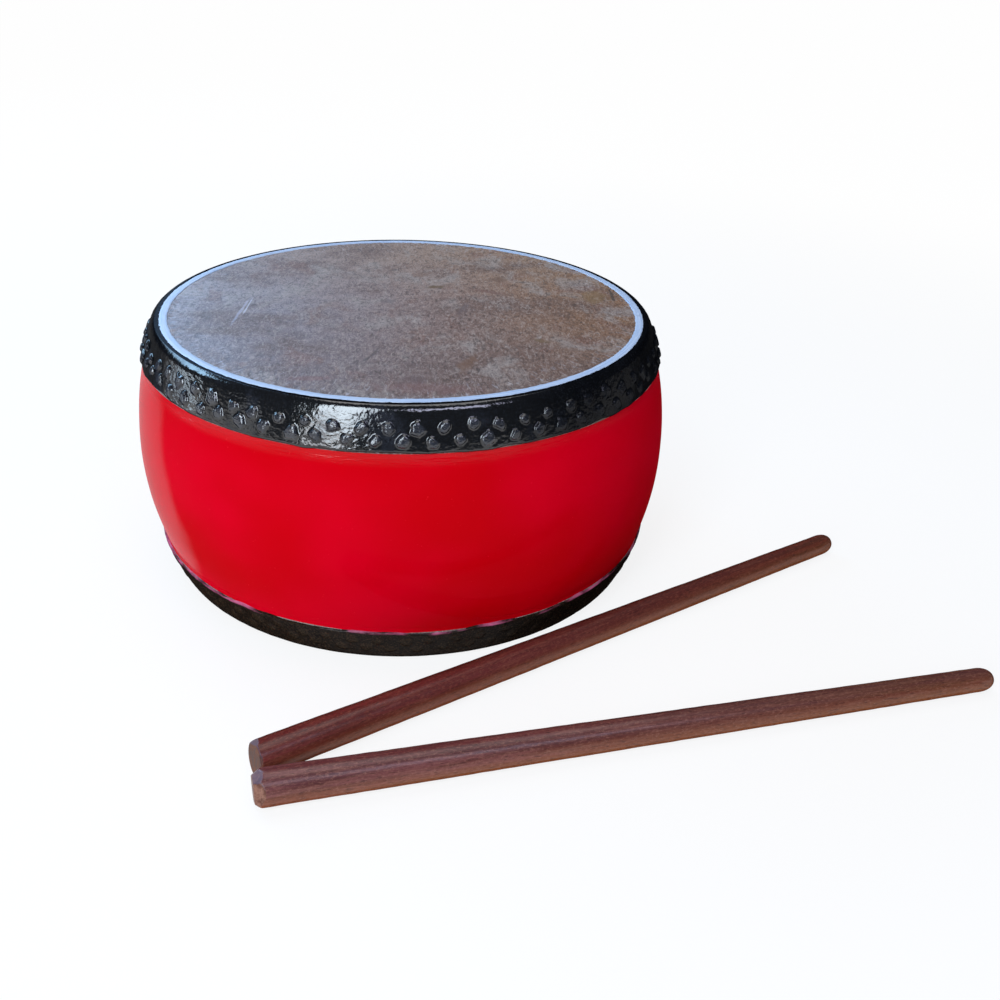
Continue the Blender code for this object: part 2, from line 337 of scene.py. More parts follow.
class Profile:
    """The drum's outline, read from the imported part: a bowed side that rolls over onto a flat head."""

    def __init__(self):
        coat = outline_of("red_lacquer_coat")
        top = coat[coat[:, 1] > coat[:, 1].max() - FLAT_DEPTH]
        belly = coat[:, 0].max()
        drop = belly - top[:, 0].max()
        self.coat_reach = (coat[:, 1].max() ** 2 + drop**2) / (2 * drop)
        self.side_centre = belly - self.coat_reach
        hide = outline_of("hide_top")
        hide_reach = self.skirt_corner(hide)[0]
        head = hide[hide[:, 1] > HALF_HEIGHT - FLAT_DEPTH]
        self.round_centre = head[:, 0].max()
        across = self.round_centre - self.side_centre
        hide_round = (hide_reach**2 - HALF_HEIGHT**2 - across**2) / (2 * (hide_reach - HALF_HEIGHT))
        self.round_height = HALF_HEIGHT - hide_round
        self.band_reach, self.skirt_angle = self.skirt_corner(outline_of("peg_band_top"))
        self.band_round = hide_round + self.band_reach - hide_reach
        self.shoulder_angle = atan2(self.round_height, across)

    def polar(self, outline):
        """Distance from the centre of the side's arc, and the angle there."""
        across = outline[:, 0] - self.side_centre
        return np.hypot(across, outline[:, 1]), np.arctan2(outline[:, 1], across)

    def skirt_corner(self, outline):
        """The outer corner of a skirt's cut edge, as reach and angle."""
        cut_edge = outline[outline[:, 1] < outline[:, 1].min() + CUT_EDGE_DEPTH]
        reach, angle = self.polar(cut_edge)
        farthest = reach.argmax()
        return reach[farthest], angle[farthest]

    def side_point(self, reach, angle):
        """A point at a reach and angle from the centre of the side's arc."""
        return np.stack((self.side_centre + reach * np.cos(angle), reach * np.sin(angle)), axis=-1)

    def down_side(self, run, drop=0):
        """The angle and the point at a run down the band's side, which lies a drop under its surface."""
        angle = self.shoulder_angle - run / self.band_reach
        return angle, self.side_point(self.band_reach - drop, angle)

    def round_point(self, reach, angle):
        """A point at a reach and angle from the centre of the rounded edge under the head."""
        across = self.round_centre + reach * np.cos(angle)
        return np.stack((across, self.round_height + reach * np.sin(angle)), axis=-1)


def ripples(random, kind):
    """Each ripple's change of phase along a metre, the way it leans and its phase."""
    for _ in range(kind.count):
        length = exp(random.uniform(log(kind.shortest), log(kind.longest)))
        lean = random.uniform(0, FULL_TURN)
        yield FULL_TURN / length, lean, random.uniform(0, FULL_TURN)


def waves(random, kind, turn, run, radius=RIPPLE_RADIUS):
    """A smooth uneven field over turn and run, which meets itself round the drum or a stick."""
    field = np.zeros(np.broadcast(turn, run).shape)
    for pace, lean, phase in ripples(random, kind):
        around = round(pace * radius * cos(lean))
        field += np.cos(around * turn + pace * sin(lean) * run + phase)
    return kind.height * (field / sqrt(kind.count / 2))


def flat_waves(random, kind, x, y):
    """A smooth uneven field over a flat face."""
    field = np.zeros_like(x)
    for pace, lean, phase in ripples(random, kind):
        field += np.cos(pace * (x * cos(lean) + y * sin(lean)) + phase)
    return kind.height * (field / sqrt(kind.count / 2))


def smooth_step(value, start, end):
    """A share that eases from 0 at start to 1 at end."""
    share = np.clip((value - start) / (end - start), 0, 1)
    return share * share * (3 - 2 * share)


def soft_least(heights, rounding):
    """The least of several values, with the creases between them rounded off."""
    return -rounding * np.log(np.exp(-np.clip(np.array(heights) / rounding, -60, 60)).sum(axis=0))


def turns(count):
    """Even turns once round an axis."""
    return np.linspace(0, FULL_TURN, count, endpoint=False)


def turned(points, turn):
    """Turns a profile's radii and heights about the drum's axis."""
    radius = points[..., 0]
    return np.stack((radius * np.cos(turn), radius * np.sin(turn), MIDDLE + points[..., 1]), axis=-1)


def ringed(outline, columns):
    """Repeats each point of a profile for every column round the drum."""
    return np.repeat(np.array(outline)[:, None, :], columns, axis=1)


def closed_mesh(name, rings, first=None, last=None, loop=False):
    """A mesh through rings of points, which closes on itself or with a fan at either end."""
    rows, columns = rings.shape[:2]
    points = rings.reshape(-1, 3).tolist()
    index = np.arange(rows * columns).reshape(rows, columns)
    upper = index if loop else index[:-1]
    lower = np.roll(index, -1, axis=0) if loop else index[1:]
    faces = np.stack((upper, lower, np.roll(lower, -1, axis=1), np.roll(upper, -1, axis=1)), axis=-1)
    faces = faces.reshape(-1, 4).tolist()
    for centre, ring in ((first, index[0]), (last, index[-1][::-1])):
        if centre is not None:
            faces += [(len(points), int(a), int(b)) for a, b in zip(ring, np.roll(ring, -1))]
            points.append(tuple(centre))
    mesh = bpy.data.meshes.new(name)
    mesh.from_pydata(points, [], faces)
    mesh.shade_smooth()
    return mesh


def add_object(name, data):
    """Adds an object to the scene."""
    added = bpy.data.objects.new(name, data)
    bpy.context.scene.collection.objects.link(added)
    return added


def add_piece(name, mesh, body, slot, materials, nodes=(), upside_down=False):
    """Adds a mesh as a piece of the object: what it rides on, its finish and what it stands for."""
    if upside_down:
        mesh.transform(Matrix.Translation((0, 0, 2 * MIDDLE)) @ Matrix.Scale(-1, 4, (0, 0, 1)))
        mesh.flip_normals()
    piece = add_object(name, mesh)
    for material in materials:
        mesh.materials.append(material)
    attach(piece, body)
    if nodes:
        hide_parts(*nodes)


def head_relief(across, down, random):
    """How high one whittled peg head stands over the lacquer, and how far out a point lies on it."""
    reach = HEAD_WIDTH / 2 * random.uniform(*HEAD_WIDTHS)
    sides = int(random.integers(*HEAD_SIDES, endpoint=True))
    start = random.uniform(0, FULL_TURN)
    phases = random.uniform(0, FULL_TURN, 2)
    bend = FULL_TURN / HEAD_WIDTH * random.uniform(*WARP_BENDS, 2)
    across, down = (
        across + HEAD_WARP * np.cos(bend[0] * down + phases[0]),
        down + HEAD_WARP * np.cos(bend[1] * across + phases[1]),
    )
    flats = []
    for side in range(sides):
        angle = start + FULL_TURN * (side + random.uniform(*SIDE_SHIFTS)) / sides
        inset = reach * random.uniform(*SIDE_INSETS)
        flats.append(-(across * cos(angle) + down * sin(angle)) / inset)
    share = -soft_least(flats, HEAD_CORNER)
    height = HEAD_HEIGHT * random.uniform(*HEAD_HEIGHTS)
    facets = [height * (1 - HEAD_DOME * share**2)]
    for _ in range(TOP_FACETS):
        angle = random.uniform(0, FULL_TURN)
        slope = random.uniform(*FACET_SLOPES)
        facets.append(height * FACET_TOP - slope * (across * cos(angle) + down * sin(angle)))
    wall = 1 - np.clip((share - HEAD_FLAT) / (HEAD_FOOT - HEAD_FLAT), 0, 1) ** 2
    return np.maximum(soft_least(facets, FACET_ROUNDING), 0) * wall, share


def peg_places():
    """Each peg's turn and its run down the side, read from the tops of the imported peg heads."""
    reach, angle = profile.polar(outline_of("peg_band_top"))
    tops = angle[reach > reach.max() - PEG_TOP_DEPTH]
    runs = (profile.shoulder_angle - tops) * profile.band_reach
    middle = (runs.min() + runs.max()) / 2
    rows = [(row.min() + row.max()) / 2 for row in (runs[runs < middle], runs[runs > middle])]
    stave = corners_of("stave_01").mean(axis=0)
    first = atan2(stave[1], stave[0]) - pi / STAVE_COUNT
    return [(first + pi * index / PEGS_PER_ROW, rows[index % 2]) for index in range(2 * PEGS_PER_ROW)]


def band_rows():
    """Rows down the band: a point of its smooth surface, the way out of it, its run and its relief.

    It also gives the skirt's length and how deep the hem drops.
    """
    flat_angle = asin((HALF_HEIGHT - SHELF_TOP - profile.round_height) / profile.band_round)
    shelf_end = profile.round_centre + profile.band_round * cos(flat_angle)
    arc_length = (flat_angle - profile.shoulder_angle) * profile.band_round
    skirt_length = (profile.shoulder_angle - profile.skirt_angle) * profile.band_reach
    rows = []
    shelf_rows = round((shelf_end - SHELF_START) / BAND_STEP)
    for share in np.linspace(0, 1, shelf_rows, endpoint=False):
        radius = SHELF_START + share * (shelf_end - SHELF_START)
        run = -arc_length - (shelf_end - radius)
        rows.append((radius, HALF_HEIGHT - SHELF_TOP, 0.0, 1.0, run, SHELF_RELIEF * share))
    arc_rows = round(arc_length / BAND_STEP)
    for angle in np.linspace(flat_angle, profile.shoulder_angle, arc_rows, endpoint=False):
        point = profile.round_point(profile.band_round, angle)
        run = -(angle - profile.shoulder_angle) * profile.band_round
        relief = SHELF_RELIEF + (1 - SHELF_RELIEF) * float(smooth_step(run, -arc_length, 0.0))
        rows.append((*point, cos(angle), sin(angle), run, relief))
    straight = skirt_length - HEM_ROLL
    for run in np.linspace(0, straight, round(straight / BAND_STEP)):
        angle, point = profile.down_side(run)
        rows.append((*point, cos(angle), sin(angle), run, 1.0))
    drop = profile.band_reach - profile.coat_reach + HEM_BURY
    for roll in np.linspace(HEM_ROLL_START, 1, HEM_ROWS) * pi / 2:
        run = straight + HEM_ROLL * sin(roll)
        angle, point = profile.down_side(run, drop * (1 - cos(roll)))
        lean = angle - roll
        rows.append((*point, cos(lean), sin(lean), run, cos(roll)))
    return np.array(rows), skirt_length, drop


def band_relief(turn, run, fade, head_share, random):
    """The height of the brushed lacquer and the peg heads over the band, and where the heads are."""
    relief = waves(random, CRACKLE, turn, run)
    relief += waves(random, WRINKLES, turn, run)
    relief += waves(random, BRUSH_DRAGS, turn, run * BRUSH_STRETCH)
    heads = np.zeros_like(relief)
    for peg_turn, peg_run in peg_places():
        off_turn, off_run = random.uniform(-HEAD_SPREAD, HEAD_SPREAD, 2)
        radius = profile.down_side(peg_run)[1][0]
        gap = (turn - peg_turn - off_turn / radius + pi) % FULL_TURN - pi
        across = gap * radius
        down = run - peg_run - off_run
        columns = np.flatnonzero(np.abs(across) < HEAD_WINDOW)
        lines = np.flatnonzero(np.abs(down) < HEAD_WINDOW)
        head, share = head_relief(across[:, columns], down[lines], random)
        patch = np.ix_(lines, columns)
        relief[patch] += head_share * head
        heads[patch] = np.maximum(heads[patch], 1 - smooth_step(share, *HEAD_MASK))
    return relief * fade, heads


def band_mesh(name, random):
    """The black lacquer over a skirt and its two rows of peg heads, as one relief."""
    head_share = HEAD_SHARES[name.split("_")[-1]]
    rows, skirt_length, drop = band_rows()
    radius, height, outward, upward, run, fade = rows.T[:, :, None]
    turn = turns(BAND_COLUMNS)[None, :]
    relief, heads = band_relief(turn, run, fade, head_share, random)
    hem = waves(random, HEM_WAVES, turn, 0 * run)
    slide = hem * smooth_step(run, skirt_length - HEM_REACH, skirt_length - HEM_ROLL)
    radius = radius + relief * outward + slide * sin(profile.skirt_angle)
    height = height + relief * upward - slide * cos(profile.skirt_angle)
    height = np.minimum(height, HALF_HEIGHT - RIM_TOP - RIM_CLEARANCE)
    inside = []
    for angle in (profile.skirt_angle, profile.shoulder_angle):
        inside.append(profile.side_point(profile.band_reach - drop - BAND_TUCK, angle))
    inside.append((SHELF_START, profile.round_height + profile.band_round - 2 * drop))
    points = np.concatenate((np.stack((radius, height), axis=-1), ringed(inside, BAND_COLUMNS)))
    mesh = closed_mesh(name, turned(points, turn), loop=True)
    # Where the lip highlight is painted: the roll of the hem
    lip_highlight = smooth_step(run, skirt_length - LIP_HIGHLIGHT_START, skirt_length - LIP_HIGHLIGHT_FULL) + 0 * turn
    for attribute, values in (("on_head", heads), ("on_lip_highlight", lip_highlight)):
        field = np.zeros(points.shape[:2], np.float32)
        field[:len(rows)] = values
        mesh.attributes.new(attribute, "FLOAT", "POINT").data.foreach_set("value", field.ravel())
    return mesh


def hide_mesh(name, random):
    """A stretched hide: a nearly flat face that puckers near its edge, and the skirt under the lacquer."""
    turn = turns(HIDE_COLUMNS)[None, :]
    rim = profile.round_centre
    radius = rim * np.sqrt(np.linspace(0, 1, HIDE_RINGS + 1))[1:, None]
    sag = flat_waves(random, HIDE_SAG, radius * np.cos(turn), radius * np.sin(turn))
    pucker = waves(random, HIDE_PUCKER, turn, radius) * smooth_step(radius, rim - PUCKER_REACH, rim)
    surface = np.minimum(HALF_HEIGHT - HIDE_TOP + sag + pucker, HALF_HEIGHT - SHELF_TOP)
    face = np.stack((np.broadcast_to(radius, surface.shape), surface), axis=-1)
    outer = profile.band_round - (profile.band_reach - profile.coat_reach) / 2 - SKIRT_GAP
    angles = np.linspace(SKIRT_START_ANGLE, profile.shoulder_angle, SKIRT_ROWS)
    skirt = [profile.round_point(outer, angle) for angle in angles]
    side_reach = outer + profile.band_reach - profile.band_round
    for reach in (side_reach, side_reach - SKIRT_THICKNESS):
        skirt.append(profile.side_point(reach, profile.skirt_angle))
    for angle in (profile.shoulder_angle, SKIRT_START_ANGLE):
        skirt.append(profile.round_point(outer - SKIRT_THICKNESS, angle))
    skirt.append((rim, HALF_HEIGHT - HIDE_UNDERSIDE))
    points = np.concatenate((face, ringed(skirt, HIDE_COLUMNS)))
    top = (0, 0, MIDDLE + HALF_HEIGHT - HIDE_TOP)
    underside = (0, 0, MIDDLE + HALF_HEIGHT - HIDE_UNDERSIDE)
    return closed_mesh(name, turned(points, turn), top, underside)


def rim_mesh(name, random):
    """The pale painted line round a hide, brushed on by hand, with an edge that wanders and chips."""
    turn = turns(RIM_COLUMNS)
    inner = RIM_INNER + waves(random, RIM_INNER_WAVES, turn, 0.0)
    outer = RIM_OUTER + waves(random, RIM_OUTER_WAVES, turn, 0.0)
    chips = waves(random, RIM_CHIPS, turn, 0.0)
    outer += DAB_REACH * np.clip(chips - DAB_LEVEL, 0, 1) - CHIP_REACH * np.clip(-chips - CHIP_LEVEL, 0, 1)
    lines = []
    for share, depth in RIM_OUTLINE:
        radius = inner + share * (outer - inner)
        lines.append(np.stack((radius, np.full_like(radius, HALF_HEIGHT - RIM_TOP - depth)), axis=-1))
    return closed_mesh(name, turned(np.array(lines), turn), loop=True)


def coat_mesh(name, random):
    """The red lacquer between the bands, with the slow unevenness of a body shaped by hand."""
    turn = turns(COAT_COLUMNS)[None, :]
    end = profile.skirt_angle + COAT_TUCK / profile.coat_reach
    fillet_start = profile.skirt_angle - COAT_FILLET_RUN / profile.coat_reach
    middle = np.linspace(fillet_start, -fillet_start, COAT_ROWS)
    climb = np.linspace(end, fillet_start, COAT_END_ROWS, endpoint=False)
    angle = np.concatenate((climb, middle, -climb[::-1]))[:, None]
    uneven = waves(random, COAT_WAVES, turn, angle * profile.coat_reach)
    limit = 2 * COAT_WAVES.height
    reach = profile.coat_reach - COAT_SINK + np.clip(uneven, -limit, limit)
    into_fillet = np.clip((np.abs(angle) - fillet_start) / (profile.skirt_angle - fillet_start), 0, 1)
    reach = reach + COAT_FILLET * into_fillet**2
    outside = profile.side_point(reach, np.broadcast_to(angle, reach.shape))
    inside = profile.side_point(profile.coat_reach - COAT_THICKNESS, angle[::-1, 0])
    points = np.concatenate((outside, ringed(inside, COAT_COLUMNS)))
    return closed_mesh(name, turned(points, turn), loop=True)


class StickLine:
    """Where a packed stick lies: its butt, heading and length, and its radii at the butt and the tip."""

    def __init__(self, node):
        corners = corners_of(node)[:, :2]
        centre = corners.mean(axis=0)
        offsets = corners - centre
        direction = np.linalg.svd(offsets)[2][0]
        if direction[0] < 0:
            direction = -direction
        along = offsets @ direction
        aside = np.abs(offsets @ np.array((-direction[1], direction[0])))
        self.direction = direction
        self.heading = atan2(direction[1], direction[0])
        self.butt = centre + along.min() * direction
        self.length = along.max() - along.min()
        self.butt_radius = aside.max()
        self.tip_radius = aside[along > along.min() + TIP_SHARE * self.length].max()


def stick_rings(line, butt_cuts, lean, random):
    """Rings of a turned and whittled stick along +X, with its underside on the floor."""
    taper = (line.butt_radius - line.tip_radius) / (line.length - TIP_LENGTH)
    edge = EDGE_ROUNDING * np.array(EDGE_SHARES)
    near = np.arange(EDGE_ROUNDING, BUTT_REACH, BUTT_STEP)
    middle = np.linspace(BUTT_REACH, line.length - TIP_LENGTH, round(line.length / STICK_STEP))
    cap = np.linspace(0, pi / 2, CAP_ROWS)
    cap_run = line.length - TIP_LENGTH * (1 - np.sin(cap[1:-1]))
    run = np.concatenate((edge, near[1:], middle, cap_run, [line.length - TIP_END]))[:, None]
    turn = turns(STICK_SIDES)[None, :]
    axis_height = line.butt_radius - taper * np.minimum(run, line.length)
    size = axis_height - STICK_INSET
    uneven = waves(random, STICK_WAVES, turn, run, line.butt_radius)
    radius = size + np.clip(uneven, -STICK_WAVE_LIMIT, STICK_WAVE_LIMIT)
    into_cap = np.clip((run - (line.length - TIP_LENGTH)) / TIP_LENGTH, 0, 1)
    radius = radius * (1 - into_cap**TIP_POWER) ** (1 / TIP_POWER)
    into_edge = np.clip(1 - run / EDGE_ROUNDING, 0, 1)
    radius = radius - EDGE_ROUNDING * (1 - np.sqrt(np.maximum(1 - into_edge**2, 0)))
    for cuts, gone in ((butt_cuts, run), (TIP_CUTS, line.length - run)):
        for cut in cuts:
            facing = np.cos(turn - radians(cut.turn))
            is_cut = (facing > CUT_LEAST_FACING) & (gone < cut.length)
            level = size - cut.depth * (1 - gone / cut.length)
            limit = np.where(is_cut, level / np.maximum(facing, CUT_LEAST_FACING), np.inf)
            radius = np.minimum(radius, limit)
    shares = np.array(FACE_SHARES)[:, None]
    radius = np.concatenate((shares * radius[0], radius))
    run = np.concatenate((0 * shares, run))
    axis_height = np.concatenate((0 * shares + line.butt_radius, axis_height))
    face = lean.slope * radius * np.cos(turn - radians(lean.turn)) - BUTT_PROUD
    run = run + face * np.clip(1 - run / LEAN_REACH, 0, 1)
    return np.stack((run, radius * np.cos(turn), axis_height + radius * np.sin(turn)), axis=-1)


def stick_mesh(name, line, butt_cuts, lean, random):
    """A stick in its place, whose second material is for the end grain that its cuts show."""
    rings = stick_rings(line, butt_cuts, lean, random)
    butt_point = (-BUTT_PROUD, 0.0, line.butt_radius)
    tip_point = (line.length, 0.0, float(rings[-1, :, 2].mean()))
    mesh = closed_mesh(name, rings[:, ::-1], butt_point, tip_point)
    normal = np.zeros(len(mesh.polygons) * 3, np.float32)
    centre = np.zeros_like(normal)
    mesh.polygons.foreach_get("normal", normal)
    mesh.polygons.foreach_get("center", centre)
    is_end_grain = (centre[::3] < END_GRAIN_REACH) & (normal[::3] < -END_GRAIN_LEAN)
    mesh.polygons.foreach_set("material_index", is_end_grain.astype(np.int32))
    mesh.set_sharp_from_angle(angle=radians(SHARP_ANGLE))
    mesh.transform(Matrix.Translation((*line.butt, 0)) @ Matrix.Rotation(line.heading, 4, "Z"))
    return mesh


def add_node(tree, kind, inputs=None, **settings):
    """Adds a shader node. An input takes a plain value or another node's output."""
    node = tree.nodes.new("ShaderNode" + kind)
    for name, value in settings.items():
        setattr(node, name, value)
    for name, value in (inputs or {}).items():
        if isinstance(value, bpy.types.NodeSocket):
            tree.links.new(value, node.inputs[name])
        else:
            node.inputs[name].default_value = value
    return node


def own_place(tree):
    """Where a point lies on the object."""
    return add_node(tree, "TexCoord").outputs["Object"]


def parts_of(tree, vector):
    """A vector's X, Y and Z, by name."""
    return add_node(tree, "SeparateXYZ", {"Vector": vector}).outputs


def vector_math(tree, operation, *values):
    """The outputs of a calculation with vectors."""
    return add_node(tree, "VectorMath", dict(enumerate(values)), operation=operation).outputs


def combine(tree, operation, *values):
    """Joins values one after another, such as by ADD."""
    result = values[0]
    for value in values[1:]:
        result = add_node(tree, "Math", {0: result, 1: value}, operation=operation).outputs[0]
    return result


def times(tree, *values):
    """The product of fields and plain values."""
    return combine(tree, "MULTIPLY", *values)


def place_in(tree, scale, heading=0.0, shift=(0, 0, 0)):
    """Object coordinates, turned so that a heading becomes +X, then scaled on each axis and shifted."""
    turn = {"Vector": own_place(tree), "Rotation": (0, 0, -heading)}
    place = add_node(tree, "Mapping", turn).outputs[0]
    return vector_math(tree, "MULTIPLY_ADD", place, scale, shift)[0]


def round_place(tree, around, outward):
    """Coordinates that follow the drum round and outwards, and the distance from its axis."""
    flat = vector_math(tree, "MULTIPLY", own_place(tree), (1, 1, 0))[0]
    radius = vector_math(tree, "LENGTH", flat)["Value"]
    unit = parts_of(tree, vector_math(tree, "NORMALIZE", flat)[0])
    joined = add_node(tree, "CombineXYZ", {"X": unit["X"], "Y": unit["Y"], "Z": radius})
    return vector_math(tree, "MULTIPLY", joined.outputs[0], (around, around, outward))[0], radius


def noise_at(tree, place, detail=3.0, roughness=0.55, distortion=0.0):
    """Noise whose grains are about 1 across in the coordinates given."""
    return add_node(tree, "TexNoise", {
        "Vector": place, "Scale": 1.0, "Detail": detail, "Roughness": roughness, "Distortion": distortion,
    }).outputs["Fac"]


def noise(tree, scale, heading=0.0, shift=(0, 0, 0), **kind):
    """Noise with so many grains to the metre on each axis, the first along a heading."""
    return noise_at(tree, place_in(tree, scale, heading, shift), **kind)


def mask(tree, attribute):
    """A value that a mesh holds for each of its points."""
    return add_node(tree, "Attribute", attribute_name=attribute).outputs["Fac"]


def ramp(tree, factor, start, end, low=0.0, high=1.0):
    """Spreads a value between two bounds smoothly onto two others."""
    return add_node(tree, "MapRange", {
        "Value": factor, "From Min": start, "From Max": end, "To Min": low, "To Max": high,
    }, interpolation_type="SMOOTHSTEP").outputs[0]


def linear(colour):
    """A colour as it looks on a screen, from 0 to 255, turned into linear light."""
    shares = [value / 255 for value in colour]
    return [share / 12.92 if share <= 0.04045 else ((share + 0.055) / 1.055) ** 2.4 for share in shares]


def blend(tree, factor, first, second):
    """Goes from one colour to another. Each is a screen colour or another node's output."""
    node = add_node(tree, "Mix", {0: factor}, data_type="RGBA")
    for index, value in ((6, first), (7, second)):
        if isinstance(value, bpy.types.NodeSocket):
            tree.links.new(value, node.inputs[index])
        else:
            node.inputs[index].default_value = (*linear(value), 1.0)
    return node.outputs[2]


def layered(tree, base, *layers):
    """Lays colours over a base, one by one: a field, its start and end, the strength there and a colour."""
    for field, start, end, strength, colour in layers:
        base = blend(tree, ramp(tree, field, start, end, 0, strength), base, colour)
    return base


def new_finish(name, specular, coat_roughness=0.1):
    """A material with its shader, whose even values are set on the shader itself."""
    material = bpy.data.materials.new(name)
    material.use_nodes = True
    tree = material.node_tree
    shader = tree.nodes["Principled BSDF"]
    shader.inputs["Specular IOR Level"].default_value = specular
    shader.inputs["Coat Roughness"].default_value = coat_roughness
    return material, tree, shader


def apply_finish(tree, shader, colour, roughness, *bumps, coat=None):
    """Joins the colour, the roughness, a coat's weight and the bumps, each with its height and depth."""
    links = {"Base Color": colour, "Roughness": roughness}
    if coat is not None:
        links["Coat Weight"] = coat
    normal = {}
    for height, depth in bumps:
        inputs = {"Height": height, "Distance": depth, "Strength": 1.0, **normal}
        normal = {"Normal": add_node(tree, "Bump", inputs).outputs[0]}
    links["Normal"] = links["Coat Normal"] = normal["Normal"]
    for socket, value in links.items():
        tree.links.new(value, shader.inputs[socket])


def glance_fade(tree):
    """A share that falls off at a glancing angle, where the pale floor would veil a dark gloss."""
    facing = add_node(tree, "LayerWeight", {"Blend": 0.5}).outputs["Facing"]
    return ramp(tree, facing, *GLANCE_FADE)


def dull_and_shaded_side(tree):
    """A share that falls off across the drum: its lacquer is less glossy on its +X side, and the black
    lacquer's grey fades there as painted shade.
    """
    return ramp(tree, parts_of(tree, own_place(tree))["X"], *DULL_AND_SHADE_FADE)


def thick_side(tree):
    """A share that is 1 on the drum's far -X side, with an edge that wanders and leans out at the top."""
    parts = parts_of(tree, own_place(tree))
    rise = combine(tree, "SUBTRACT", parts["Z"], MIDDLE)
    wander = combine(tree, "SUBTRACT", noise(tree, (16, 16, 16), detail=2), 0.5)
    wander = times(tree, wander, 2 * THICK_WANDER)
    across = combine(tree, "ADD", parts["X"], times(tree, rise, THICK_LEAN), wander)
    return ramp(tree, across, *THICK_FADE)


def red_lacquer():
    """Smooth red lacquer, glossier near the upper hem and on one side, with brush drags near the hems."""
    material, tree, shader = new_finish("red_gloss_lacquer", specular=0.0, coat_roughness=0.08)
    slow = noise(tree, (9, 9, 14), detail=2)
    dust = noise(tree, (700, 700, 700), detail=1)
    colour = layered(
        tree, (208, 0, 26),
        # Slow patches of pinker and deeper red: partly the lacquer's own uneven tone, partly painted soft
        # reflection
        (slow, 0.35, 0.65, 1.0, (193, 0, 11)),
        (dust, 0.74, 0.80, 0.5, (232, 60, 60)),
    )
    hem = profile.side_point(profile.coat_reach, profile.skirt_angle)[1]
    rise = combine(tree, "SUBTRACT", parts_of(tree, own_place(tree))["Z"], MIDDLE)
    off_middle = combine(tree, "ABSOLUTE", rise, 0.0)
    near_hem = ramp(tree, off_middle, hem - DRAG_START, hem - DRAG_FULL, DRAG_LEAST, 1.0)
    drag = times(tree, noise(tree, (60, 60, 620)), near_hem)
    gloss = ramp(tree, rise, hem - HEM_GLOSS_START, hem - HEM_GLOSS_FULL, 0.0, HEM_GLOSS)
    gloss = times(tree, gloss, glance_fade(tree))
    gloss = combine(tree, "ADD", gloss, RED_GLOSS)
    gloss = times(tree, gloss, dull_and_shaded_side(tree))
    gloss = combine(tree, "ADD", gloss, times(tree, thick_side(tree), THICK_GLOSS))
    peel = noise(tree, (240, 240, 240), detail=2)
    roughness = ramp(tree, noise(tree, (30, 30, 60)), 0.3, 0.75, 0.16, 0.26)
    apply_finish(tree, shader, colour, roughness, (peel, 0.00003), (drag, 0.0004), coat=gloss)
    return material


def black_lacquer(name, colour, wear_and_sheen_grey, gloss, speckle, lip_highlight=None):
    """Thick black lacquer, greyer in patches of wear, rougher and crazed on the peg heads, whose grey is
    painted sheen.

    The grey is lacquer wear and painted sheen on the peg heads, gloss its coat's weight and speckle the
    colour of its specks.
    A lip highlight colour lies on the hem's roll: partly the neighbouring lacquer run onto the hem, partly
    a painted highlight.
    """
    material, tree, shader = new_finish(name, specular=0.0, coat_roughness=0.10)
    shader.inputs["Coat IOR"].default_value = LACQUER_IOR
    on_head = mask(tree, "on_head")
    patches = noise(tree, (60, 60, 60), detail=4)
    greyed = ramp(tree, patches, 0.5, 0.72, 0, PATCH_WEAR)
    # Grey of wear patches, and on the peg heads a grey of painted sheen
    greyed = combine(tree, "MAXIMUM", greyed, times(tree, on_head, HEAD_PAINTED_SHEEN))
    # Less grey towards +X: painted shade
    base = blend(tree, times(tree, greyed, dull_and_shaded_side(tree)), colour, wear_and_sheen_grey)
    specks = noise(tree, (900, 900, 900), detail=2)
    base = layered(
        tree, base,
        (specks, 0.52, 0.70, 0.6, speckle),
        (specks, 0.48, 0.34, 0.7, (8, 7, 8)),
    )
    # A pale pink on the hem's roll: partly the red lacquer run onto it, partly a painted highlight
    if lip_highlight:
        ragged = ramp(tree, noise(tree, (50, 50, 200), detail=6), 0.44, 0.66)
        base = blend(tree, times(tree, mask(tree, "on_lip_highlight"), ragged), base, lip_highlight)
    crackle = add_node(tree, "TexVoronoi", {
        "Vector": place_in(tree, (800, 800, 1100)), "Scale": 1.0, "Randomness": 1.0,
    }, feature="SMOOTH_F1").outputs["Distance"]
    crackle = times(tree, crackle, ramp(tree, on_head, 0, 1, 0.45, 1.5))
    grit = noise(tree, (1000, 1000, 1300), roughness=0.65)
    grit = times(tree, grit, ramp(tree, on_head, 0, 1, 0.35, 1.0))
    weight = ramp(tree, patches, 0.4, 0.7, gloss, 0.6 * gloss)
    weight = times(tree, weight, glance_fade(tree), dull_and_shaded_side(tree))
    roughness = ramp(tree, patches, 0.35, 0.7, 0.4, 0.6)
    apply_finish(tree, shader, base, roughness, (crackle, 0.00013), (grit, 0.00010), coat=weight)
    return material


def pale_rim_paint():
    """Pale blue-white paint in brushed streaks, thinned by wear in places, whose blue is painted sky
    reflection.
    """
    material, tree, shader = new_finish("pale_rim_paint", specular=0.25)
    streaks = noise_at(tree, round_place(tree, 5, 1600)[0])
    greyed = noise(tree, (160, 160, 160), detail=5, roughness=0.7)
    # The blue of all these colours is painted sky reflection on pale paint
    colour = layered(
        tree, (148, 168, 198),
        (streaks, 0.3, 0.75, 1.0, (182, 193, 210)),
        (greyed, 0.62, 0.72, 0.6, (140, 150, 170)),
    )
    roughness = ramp(tree, streaks, 0.3, 0.7, 0.35, 0.5)
    apply_finish(tree, shader, colour, roughness, (streaks, 0.00004), (greyed, 0.00003))
    return material


